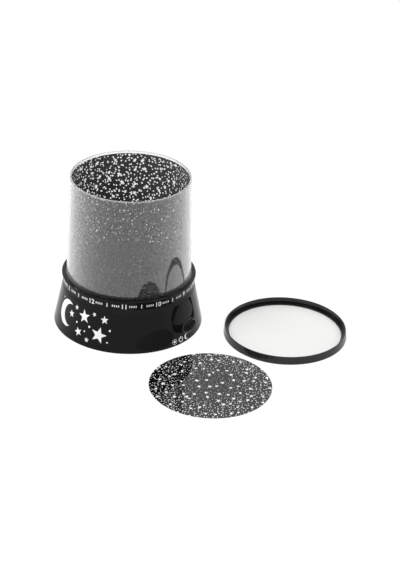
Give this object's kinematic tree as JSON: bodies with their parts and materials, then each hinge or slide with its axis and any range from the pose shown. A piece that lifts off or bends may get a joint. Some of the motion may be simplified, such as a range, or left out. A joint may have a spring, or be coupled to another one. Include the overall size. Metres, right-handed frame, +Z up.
{
  "type": "planetarium projector",
  "caption": "Tabletop star projector: black moulded base with a push button, a clear turning cup lined with a star film, and its cap and star disc lying beside it.",
  "frame": {"origin": "on the projector's axis, at the level of the rim and feet it stands on", "axes": "+Z up along the axis of the base and the cup, -Y towards the front, +X to the right; the push button is 60 degrees round from the front towards +X, the power inlet is at the back (+Y)"},
  "size_m": [0.2178, 0.1912, 0.1168],
  "materials": {
    "black_gloss": "high gloss",
    "black_matte": "fine moulded texture",
    "grey_gloss": "satin",
    "white_plastic": "milky",
    "clear_plastic": "clear",
    "printed_film": "printed sheet",
    "cell_sleeve": "shrink sleeve",
    "plated_steel": "nickel plated",
    "screw_steel": "zinc plated",
    "board_green": "solder mask",
    "led_clear": "clear epoxy",
    "foot_rubber": "matte",
    "lead_red": "soft insulation",
    "lead_black": "soft insulation"
  },
  "bodies": {
    "base": {"base_housing": "black_gloss", "retaining_collar": "black_gloss", "bottom_cover": "black_matte", "battery_cell_1": "cell_sleeve", "battery_cell_2": "cell_sleeve", "battery_cell_3": "cell_sleeve", "contact_plates": "plated_steel", "contact_springs": "plated_steel", "circuit_board": "board_green", "board_components": "black_matte", "board_screws": "screw_steel", "led_holder": "black_matte", "led_white": "led_clear", "led_red": "led_clear", "led_green": "led_clear", "led_blue": "led_clear", "button_bezel": "grey_gloss", "push_switch": "black_matte", "switch_board": "board_green", "power_inlet": "black_matte", "housing_screws": "screw_steel", "rubber_feet": "foot_rubber", "lead_positive": "lead_red", "lead_negative": "lead_black", "switch_leads": "lead_black", "inlet_leads": "lead_red"},
    "cup": {"clear_cup": "clear_plastic", "film_sleeve": "printed_film"},
    "button": {"power_button": "black_gloss", "switch_plunger": "white_plastic"},
    "door": {"battery_door": "black_matte"},
    "lid": {"lid_ring": "black_gloss", "lid_diffuser": "white_plastic"},
    "disc": {"star_disc": "printed_film"}
  },
  "joints": [
    {"name": "cup_turn", "type": "hinge", "parent": "base", "child": "cup", "pos_m": [0, 0, 0.0368], "axis": [0, 0, 1], "continuous": true},
    {"name": "button_press", "type": "slide", "parent": "base", "child": "button", "axis": [-0.8484, 0.4898, -0.2005], "range_m": [0, 0.0015], "stiffness_N_per_m": 800, "springref_m": -0.0005},
    {"name": "door_turn", "type": "hinge", "parent": "base", "child": "door", "pos_m": [0, -0.0302, 0.0012], "axis": [-1, 0, 0], "range_deg": [0, 60]},
    {"name": "lid_lift", "type": "slide", "parent": "base", "child": "lid", "axis": [0, 0, 1], "range_m": [0, 0.13]},
    {"name": "disc_lift", "type": "slide", "parent": "base", "child": "disc", "axis": [0, 0, 1], "range_m": [0, 0.13]}
  ]
}
